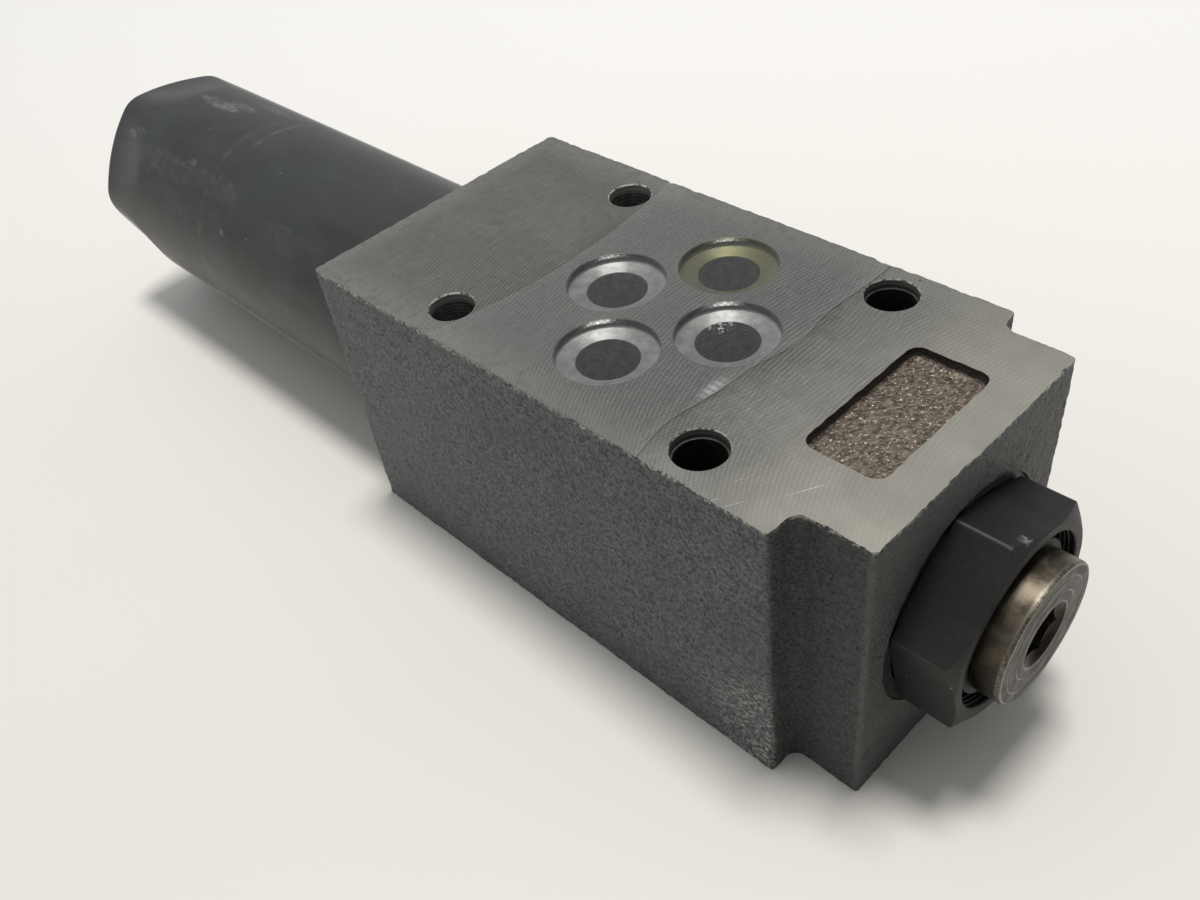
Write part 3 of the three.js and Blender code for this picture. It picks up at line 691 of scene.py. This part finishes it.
def housing():
    corners = [
        (HOUSING_LOW.x, HOUSING_LOW.y, 0.9),
        (STEP_X, HOUSING_LOW.y, 0.5),
        (STEP_X, STEP_NEAR_Y, 1.4),
        (HOUSING_HIGH.x, STEP_NEAR_Y, 0.6),
        (HOUSING_HIGH.x, STEP_FAR_Y, 0.9),
        (STEP_X, STEP_FAR_Y, 1.7),
        (STEP_X, HOUSING_HIGH.y, 1.0),
        (HOUSING_LOW.x, HOUSING_HIGH.y, 0.9),
    ]
    step = 0.42
    points, normals = rounded_outline(corners, step)
    levels = list(np.linspace(0, TOP_Z, round(TOP_Z / step) + 1))
    body = walls("iron_housing", points, normals, levels, cast_skin)

    high, low = TOP_Z + 1, -1.0
    cutters = []
    for k, (x, y) in enumerate(BOLTS_PLAIN):
        profile = [(low, 3.3), (0, 3.0), (0.25, 2.75), (TOP_Z - 0.22, 2.75), (TOP_Z, 2.98), (high, 3.98)]
        cutters.append(cylinder_z(f"cut_bolt_{k}", x, y, profile))
    for k, (x, y) in enumerate(BOLTS_STEPPED):
        profile = [(low, 3.3), (0, 3.05), (0.2, 2.85), (TOP_Z - 1.2, 2.85), (TOP_Z - 1.15, 3.08),
                   (TOP_Z - 0.12, 3.12), (TOP_Z, 3.22), (high, 4.2)]
        cutters.append(cylinder_z(f"cut_mouth_{k}", x, y, profile))
    for key, (x, y) in PORTS.items():
        profile = [(RECESS_FLOOR, 5.9), (RECESS_FLOOR + 0.15, RECESS_R), (TOP_Z - 0.06, RECESS_R),
                   (TOP_Z, RECESS_R + 0.08), (high, RECESS_R + 1)]
        cutters.append(cylinder_z(f"cut_recess_{key}", x, y, profile, 128))
        depth = 24.0 if key == "P" else 14.0
        profile = [(TOP_Z - depth, PORT_R), (RECESS_FLOOR - 0.1, PORT_R),
                   (RECESS_FLOOR + 0.4, PORT_R + 0.5)]
        cutters.append(cylinder_z(f"cut_port_{key}", x, y, profile))
        profile = [(low, 4.7), (0, PORT_R), (12.0, PORT_R)]
        cutters.append(cylinder_z(f"cut_base_{key}", x, y, profile))
    cutters.append(pocket_cutter(high))
    chamber = [(HOUSING_LOW.x - 1, 0), (HOUSING_LOW.x - 1, 16.05), (-40.35, 16.05), (-40.35, 14.05),
               (-28.5, 14.05), (-28.5, 6.0), (-27.5, 6.0), (-27.5, 0)]
    cutters.append(turned("cut_chamber", chamber, 160))
    ring_x = HOUSING_HIGH.x - 0.5
    plug = [(24.0, 0), (24.0, 10.05), (39.4, 10.05), (39.4, 12.15), (ring_x, 12.15),
            (ring_x, PLUG_SEAT_R), (HOUSING_HIGH.x + 1, PLUG_SEAT_R), (HOUSING_HIGH.x + 1, 0)]
    cutters.append(turned("cut_plug_bore", plug, 160))
    subtract(body, cutters)
    paint_housing(body)
    return body


def pocket_cutter(high):
    """The cast pocket: drafted, uneven walls and a rough floor that rises into them."""
    x0, x1, y0, y1 = POCKET
    corners = [(x0, y0, 1.6), (x1, y0, 1.6), (x1, y1, 1.6), (x0, y1, 1.6)]
    points, normals = rounded_outline(corners, 0.3)
    floor = TOP_Z - 1.25
    middle = Vector(((x0 + x1) / 2, (y0 + y1) / 2))
    shells = [(high, 0.0), (TOP_Z - 0.1, 0.0), (TOP_Z - 0.5, -0.1), (TOP_Z - 0.9, -0.2),
              (floor + 0.12, -0.34), (floor, -0.6)]
    verts, faces = [], []
    for z, out in shells:
        for point, normal in zip(points, normals):
            rough = 0.09 * rumble(point.x, point.y, z, 1.3, 2)
            spot = point + normal * (out + rough)
            verts.append((spot.x, spot.y, z))
    count = len(points)
    inner = 14
    for k in range(1, inner):
        for point, normal in zip(points, normals):
            spot = (point - normal * 0.6).lerp(middle, k / inner)
            lift = 0.10 * rumble(spot.x, spot.y, 0, 0.9, 3) + 0.05 * rumble(spot.x, spot.y, 9, 4.0, 2)
            verts.append((spot.x, spot.y, floor + lift))
    rings = len(shells) + inner - 1
    for ring in range(rings - 1):
        for i in range(count):
            j = (i + 1) % count
            a, b = ring * count, (ring + 1) * count
            faces.append((a + i, a + j, b + j, b + i))
    centre = len(verts)
    verts.append((middle.x, middle.y, floor))
    last = (rings - 1) * count
    for i in range(count):
        faces.append((last + i, last + (i + 1) % count, centre))
    faces.append(tuple(range(count)))
    return make_object("cut_pocket", verts, faces)


def paint_housing(body):
    """Gives each face of the housing the finish of the tool that made it."""
    mesh = body.data
    mesh.materials.clear()
    for material in (cast_iron(), ground_iron(), bore_iron(), recess_iron(), pocket_iron()):
        mesh.materials.append(material)
    cast, ground, bored, recessed, pocketed = range(5)
    x0, x1, y0, y1 = POCKET
    for face in mesh.polygons:
        x, y, z = face.center / MM
        up = abs(face.normal.z)
        over_pocket = x0 - 0.4 < x < x1 + 0.4 and y0 - 0.4 < y < y1 + 0.4
        to_port = min(math.hypot(x - px, y - py) for px, py in PORTS.values())
        to_bolt = min(math.hypot(x - px, y - py) for px, py in BOLTS_PLAIN + BOLTS_STEPPED)
        in_valve_bore = math.hypot(y, z - AXIS_Z) < PLUG_SEAT_R + 0.004 and abs(x) > 23
        if up > 0.95 and (z > TOP_Z - 0.02 or z < 0.02):
            face.material_index = ground
        elif over_pocket and TOP_Z - 1.8 < z < TOP_Z - 0.02:
            face.material_index = pocketed
        elif to_port < RECESS_R + 0.3 and z > RECESS_FLOOR - 0.15:
            face.material_index = recessed
        elif to_bolt < 4.0 or to_port < 4.8 or in_valve_bore:
            face.material_index = bored
        else:
            face.material_index = cast
    shade(mesh, 50)
    for face in mesh.polygons:
        if face.material_index == ground:
            face.use_smooth = False


# ---------- Spring housing and cap ----------
# Worn places on the black finish: (x, angle in degrees, length along x, half width in degrees, amount).
SCUFFS = [
    (CAP_END + 21.0, 86, 13, 4.5, 0.62),
    (CAP_END + 25.5, 80, 9, 3.5, 0.6),
    (CAP_END + 30.0, 68, 10, 4.0, 0.35),
    (-86.6, 84, 1.3, 20, 0.32),
    (CAP_END + 7.5, 128, 3.5, 3.0, 0.5),
    (CAP_END + 10.0, 124, 4.0, 1.2, 0.6),
    (CAP_END + 29.0, 126, 3.0, 2.0, 0.6),
    (CAP_END + 22.0, 134, 22, 8.0, 0.16),
    (-88.8, 131, 16, 7.0, 0.16),
    (-64.8, 139, 20, 8.0, 0.10),
    (-83.3, 152, 1.0, 1.5, 0.7),
    (-60.0, 175, 26, 5.0, 0.12),
]


def scuff_at(x, r, angle):
    degrees = math.degrees(angle)
    most = 0.0
    for sx, sa, length, width, amount in SCUFFS:
        along = (x - sx) / (length / 2)
        round_ = ((degrees - sa + 180) % 360 - 180) / width
        fall = max(0.0, 1 - along * along - round_ * round_)
        ragged = 0.5 + 0.9 * noise.noise(Vector((x * 0.9, degrees * 0.35, sx)))
        most = max(most, amount * min(1.0, fall * 2.5) * max(0.0, min(1.0, ragged)))
    return most


def edge_wear(x_edges, width):
    """Bare metal along turned edges at these places on the axis, broken up."""
    def at(x, r, angle):
        near = max(0.0, 1 - min(abs(x - edge) for edge in x_edges) / width)
        broken = 0.5 + 0.8 * noise.noise(Vector((x * 2, math.cos(angle) * 9, math.sin(angle) * 9)))
        return near * max(0.0, min(1.0, broken))
    return at


def spring_barrel():
    face, seam = COLLAR_X, SEAM_X + SEAM_GAP
    outer = finely([(seam + 0.3, BARREL_R), (face - 0.35, BARREL_R)], 0.8)
    profile = [(BARREL_LOW.x, 6.05), (BARREL_LOW.x, 13.6)]
    profile += finely([(BARREL_LOW.x + 0.9, 14.6), (seam + 0.6, 14.6)], 0.13)
    profile += [(seam, 14.6), (seam, BARREL_R)]
    profile += outer
    profile += [(face - 0.1, BARREL_R - 0.08), (face, BARREL_R - 0.3), (face, 13.5), (-40.2, 13.5),
                (-40.2, 13.9), (-30.1, 13.9), (-29.5, 13.3), (-29.5, 10.5), (-84, 10.5), (-84, 6.05),
                (BARREL_LOW.x, 6.05)]
    cut = thread(1.5, 0.8, BARREL_LOW.x + 0.9, seam - 0.05)
    wear = edge_wear((seam + 0.15,), 0.5)

    def scuff(x, r, angle):
        return max(scuff_at(x, r, angle), 0.12 * wear(x, r, angle)) if r > 17 else 0.0

    return turned("spring_barrel", profile, 224, cut, 35, {"scuff": scuff})


def spanner_cap():
    end, seam = CAP_END, SEAM_X - SEAM_GAP
    outer = finely([(end + 1.3, BARREL_R), (end + 13.0, BARREL_R)], 0.22)
    outer += finely([(end + 13.0, BARREL_R), (seam - 0.3, BARREL_R)], 0.8)[1:]
    profile = [(end, 0)] + finely([(end, 6), (end, 15.4), (end, BARREL_R - 1.35)], 2.0)
    profile += finely([(end + 0.12, BARREL_R - 1.12), (end + 1.3, BARREL_R)], 0.16)
    profile += outer[1:]
    profile += [(seam, BARREL_R), (seam, 14.9), (-91.9, 14.9),
                (-91.9, 16.15), (-93.5, 16.15), (-93.5, 14.9), (-97.3, 14.9), (-97.3, 12.5),
                (-123, 12.5), (-123.7, 11.8), (-123.7, 0)]

    def flats(x, r, angle, i):
        if x > end + 13.5 or r < 15.6:
            return r
        lift = max(0.0, x - (end + 1.5))
        flat = polygon_radius(2 * FLAT_DISTANCE, 6, FLAT_ANGLE, angle)
        return soft_min(r, flat + 0.0125 * lift ** 2, 0.9)

    wear = edge_wear((end + 0.1, seam - 0.15), 0.6)

    def scuff(x, r, angle):
        return max(scuff_at(x, r, angle), 0.25 * wear(x, r, angle)) if r > 15.2 else 0.0

    return turned("spanner_cap", profile, 360, flats, 30, {"scuff": scuff})


# ---------- Hexagon plug ----------
def hex_wear_and_highlight(x, r, angle):
    """A painted highlight line along each corner, brightest on the corner that faces up and towards the
    near side, and a worn nick in front.
    """
    corner = (angle - HEX_VERTEX + math.pi / 6) % (math.pi / 3) - math.pi / 6
    which = round((angle - HEX_VERTEX - corner) / (math.pi / 3)) % 6
    # Painted highlight: how bright each corner's line is depends on how it faces the light.
    corner_highlight = {1: 0.30, 2: 0.16, 0: 0.08}.get(which, 0.06)
    line = max(0.0, 1 - abs(corner) * r / 0.11) if r > 13 and x > PLUG_HIGH.x - 7.3 else 0.0
    near_front = x > PLUG_HIGH.x - 1.5 and r > 12.5
    nick_angle = math.degrees(angle) - 93.5
    nick = max(0.0, 1 - (nick_angle / 4.5) ** 2) if near_front else 0.0
    ragged = 0.9 + 1.6 * noise.noise(Vector((x * 3, math.cos(angle) * 30, math.sin(angle) * 30)))
    return min(1.0, corner_highlight * line + nick * max(0.0, ragged))


def hex_plug():
    front, back = PLUG_HIGH.x, HOUSING_HIGH.x - 0.45
    corner = HEX_ACROSS_FLATS / math.sqrt(3)
    recess_floor = front - 2.4
    outer = finely([(back + 0.35, corner), (front - 1.1, corner)], 0.7)
    cone = finely([(front - 1.1, corner + 0.12), (front - 0.06, corner - 1.72)], 0.07)
    rings = []
    for k in range(4):
        x = front - 0.5 - 0.5 * k
        rings += [(x, 10.6), (x - 0.12, 10.72), (x - 0.3, 10.72), (x - 0.38, 10.6)]
    profile = [(26.0, 2.0), (26.0, 9.1), (26.8, 9.95), (38.4, 9.95), (38.9, 9.4), (back, 9.4),
               (back, corner - 0.9)]
    profile += outer + cone
    profile += [(front, corner - 1.85), (front, 10.75), (front - 0.15, 10.6)] + rings
    profile += [(recess_floor, 10.6), (recess_floor, 6.05), (36.0, 6.05), (36.0, 2.0), (26.0, 2.0)]

    def hexagon(x, r, angle, i):
        if x < back - 0.01 or r < 11.0:
            return r
        side = polygon_radius(HEX_ACROSS_FLATS, 6, HEX_VERTEX + math.pi / 6, angle)
        rounded = soft_min(side, corner - 0.10, 0.12)
        return soft_min(rounded, r, 0.06)

    return turned("hex_plug", profile, 720, hexagon, 28, {"scuff": hex_wear_and_highlight})


# ---------- Gauge plug ----------
def gauge_plug():
    front = GAUGE_HIGH.x
    deep = front - 5.6
    face = []
    for r in (8.0, 7.12, 7.06, 6.94, 6.88, 5.42, 5.36, 5.24, 5.18):
        sunk = 0.05 if r in (7.06, 6.94, 5.36, 5.24) else 0.0
        face.append((front - sunk, r))
    profile = [(37.0, 0), (37.0, 5.0)] + finely([(37.9, 5.95), (46.2, 5.95)], 0.13)
    profile += [(46.8, 5.2), (48.05, 5.2), (48.05, 8.15), (48.15, 8.38), (48.4, 8.5)]
    profile += finely([(48.4, 8.5), (front - 0.4, 8.5)], 0.5)[1:]
    profile += [(front - 0.14, 8.42), (front - 0.02, 8.2)] + face
    profile += [(front, 4.1), (front - 0.02, 4.0)]
    profile += finely([(front - 0.1, 3.9), (front - 0.75, 3.2)], 0.12)
    profile += finely([(front - 0.8, 3.1), (deep, 3.1)], 1.2) + [(deep - 0.9, 1.4), (deep - 1.2, 0)]
    inner_from = len(profile) - 1
    while profile[inner_from][0] < front - 0.09 and inner_from > 0:
        inner_from -= 1
    cut = thread(1.5, 0.75, 37.9, 46.2)

    def shape(x, r, angle, i):
        if i <= inner_from:
            return cut(x, r, angle, i)
        if x < deep + 0.01:
            return r
        socket = polygon_radius(6.0, 6, math.radians(13), angle)
        return max(r, socket) if r > 3.15 else socket

    return turned("gauge_plug", profile, 288, shape, 32)


# ---------- Clear film over the ports ----------
FILM_LIFT = 0.045
FILM_THICKNESS = 0.03
FILM_INSET = 0.35
WRINKLE_HEIGHT = 0.14


def port_film():
    """A strip of clear film laid across the face, sunk a little into each seal recess."""
    near_y, far_y = HOUSING_LOW.y + FILM_INSET, HOUSING_HIGH.y - FILM_INSET
    step = 0.22
    rows = round((far_y - near_y) / step)
    columns = round(35 / step)
    verts, faces = [], []

    def height(x, y):
        near_edge = max(0.0, 1 - (right_edge(y) - x) / 0.9)
        z = FILM_LIFT + 0.006 * rumble(x, y, 3, 4.0, 2)
        z += 0.025 * near_edge * max(0.0, noise.noise(Vector((0, y * 0.6, 5))) + 0.1)
        z += WRINKLE_HEIGHT * pucker(x, y)
        for px, py in PORTS.values():
            away = math.hypot(x - px, y - py)
            if away < RECESS_R:
                inward = (RECESS_R - away) / RECESS_R
                sag = 0.30 * min(1.0, inward / 0.12) + 0.10 * inward
                z -= sag + 0.012 * rumble(x, y, px, 1.5, 2)
        return TOP_Z + z

    for side in (0, 1):
        for j in range(rows + 1):
            y = near_y + (far_y - near_y) * j / rows
            left, right = left_edge(y), right_edge(y)
            for i in range(columns + 1):
                x = left + (right - left) * i / columns
                verts.append((x, y, height(x, y) + side * FILM_THICKNESS))
    width = columns + 1
    top = (rows + 1) * width
    for j in range(rows):
        for i in range(columns):
            a = j * width + i
            faces.append((a, a + width, a + width + 1, a + 1))
            faces.append((top + a, top + a + 1, top + a + width + 1, top + a + width))
    rim = [i for i in range(width)] + [j * width + columns for j in range(1, rows + 1)]
    rim += [rows * width + i for i in range(columns - 1, -1, -1)]
    rim += [j * width for j in range(rows - 1, 0, -1)]
    for a, b in zip(rim, rim[1:] + rim[:1]):
        faces.append((a, b, top + b, top + a))
    film = make_object("port_film", verts, faces, 60)
    seen_edge = {0: 0.2, columns: 1.0}
    edge = film.data.attributes.new("edge", "FLOAT", "POINT")
    edge.data.foreach_set("value", [seen_edge.get(v % width, 0.0) for v in range(len(verts))])
    rib = film.data.attributes.new("rib", "FLOAT", "POINT")
    rib.data.foreach_set("value", [pucker(x, y) for x, y, _ in verts])
    return film


def pucker(x, y):
    """A small fan of wrinkles beside the film's edge."""
    fall = max(0.0, 1 - math.hypot((x - 15.2) / 1.1, (y + 8.4) / 2.6))
    return fall * abs(math.sin(y * 3.6))


def right_edge(y):
    """The film's edge beside the plug-end bolt holes, cut by hand and not quite straight."""
    cut_back = 1.9 * math.exp(-((y + 14) / 7.5) ** 2)
    waviness = 0.5 * math.sin(y * 0.42) * math.exp(-(y / 14) ** 2)
    return 16.9 - cut_back + waviness


def left_edge(y):
    return -15.4 - 2.4 * (y / 19) ** 2


# ---------- Build ----------
def dress(piece, body, slot, material=None, *nodes):
    if material is not None:
        piece.data.materials.clear()
        piece.data.materials.append(material)
    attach(piece, body)
    if nodes:
        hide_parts(*nodes)


OXIDE = black_oxide("black_oxide", (0.045, 0.047, 0.0445), (0.028, 0.0295, 0.0285), 0.40, 0.15)
OXIDE_PLUG = black_oxide("black_oxide_plug", (0.027, 0.0275, 0.0265), (0.019, 0.0195, 0.019), 0.52)
RUBBER = rubber()
GROUND = turned_metal("ground_steel", (0.62, 0.63, 0.65), (0.50, 0.51, 0.53), 0.2)
TURNED = turned_metal("turned_steel", (0.40, 0.41, 0.43), (0.28, 0.29, 0.30), 0.32, stain=(0.2, 0.16, 0.11))
WIRE = turned_metal("spring_wire", (0.22, 0.22, 0.23), (0.13, 0.13, 0.135), 0.38)

dress(housing(), "housing", "cast_iron", None, "valve_housing")
dress(spring_barrel(), "housing", "black_oxide_steel", OXIDE, "spring_housing")
dress(spanner_cap(), "cap", "black_oxide_steel", OXIDE, "protective_cap")
dress(hex_plug(), "housing", "black_oxide_plug", OXIDE_PLUG, "end_plug")
dress(gauge_plug(), "gauge_plug", "plated_steel", gauge_steel(), "gauge_port_plug")
dress(port_film(), "housing", None, clear_film())

INNER = {
    "control_spool": GROUND, "thrust_ball": GROUND, "spring_shim": GROUND,
    "orifice_screw": TURNED, "spool_spring_plate": TURNED, "adjuster_spring_plate": TURNED,
    "adjusting_screw": TURNED, "lock_nut": TURNED, "lock_nut_washer": TURNED,
    "main_spring": WIRE, "gauge_plug_seal": RUBBER,
    "piston_oring": RUBBER, "spring_housing_oring": RUBBER, "cap_oring": RUBBER,
    "end_plug_oring": RUBBER,
}
for node, material in INNER.items():
    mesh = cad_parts[node].data
    mesh.materials.clear()
    mesh.materials.append(material)

# ---------- Floor, light and camera ----------
REACH = 2.2
floor_mesh = bpy.data.meshes.new("floor")
floor_corners = [(-REACH, -REACH, 0), (REACH, -REACH, 0), (REACH, REACH, 0), (-REACH, REACH, 0)]
floor_mesh.from_pydata(floor_corners, [], [(0, 1, 2, 3)])
floor = bpy.data.objects.new("floor", floor_mesh)
floor.location.z = HOUSING_LOW.z * MM - 0.0001
bpy.context.scene.collection.objects.link(floor)
floor_mesh.materials.append(floor_paint())


def area_light(name, place, target, size, watts, color):
    light = bpy.data.lights.new(name, "AREA")
    light.shape = "RECTANGLE"
    light.size, light.size_y = size
    light.energy = watts
    light.color = color
    lamp = bpy.data.objects.new(name, light)
    lamp.location = place
    lamp.rotation_euler = (Vector(target) - Vector(place)).to_track_quat("-Z", "Y").to_euler()
    bpy.context.scene.collection.objects.link(lamp)


area_light("ceiling", (-0.035, 0.09, 1.1), (0, 0, 0.02), (0.225, 0.225), 7.9, (1.0, 0.98, 0.945))

world = bpy.data.worlds.new("room")
world.use_nodes = True
tree = world.node_tree
around = tree.nodes.new("ShaderNodeTexCoord")
split = tree.nodes.new("ShaderNodeSeparateXYZ")
fade = tree.nodes.new("ShaderNodeMapRange")
fade.inputs["From Min"].default_value = 0.9
fade.inputs["From Max"].default_value = -0.7
fade.inputs["To Min"].default_value = 0.12
fade.inputs["To Max"].default_value = 0.66
tree.links.new(around.outputs["Generated"], split.inputs[0])
tree.links.new(split.outputs["X"], fade.inputs["Value"])
tree.links.new(fade.outputs["Result"], tree.nodes["Background"].inputs["Strength"])
tree.nodes["Background"].inputs["Color"].default_value = (0.97, 0.985, 1.0, 1)
bpy.context.scene.world = world
bpy.context.scene.view_settings.view_transform = "Standard"

CAMERA_PLACE = (0.07773, -0.07477, 0.11452)
camera_data = bpy.data.cameras.new("camera")
camera_data.sensor_width = 36
camera_data.lens = 33.25
camera_data.shift_y = 0.0383
camera_data.clip_start = 0.01
camera = bpy.data.objects.new("camera", camera_data)
right = Vector((0.69898, 0.70527, -0.11841))
up = Vector((-0.43772, 0.55286, 0.70905))
facing = right.cross(up)
turn = Matrix((right, up, facing)).transposed()
camera.matrix_world = Matrix.Translation(CAMERA_PLACE) @ turn.to_4x4()
bpy.context.scene.collection.objects.link(camera)
bpy.context.scene.camera = camera
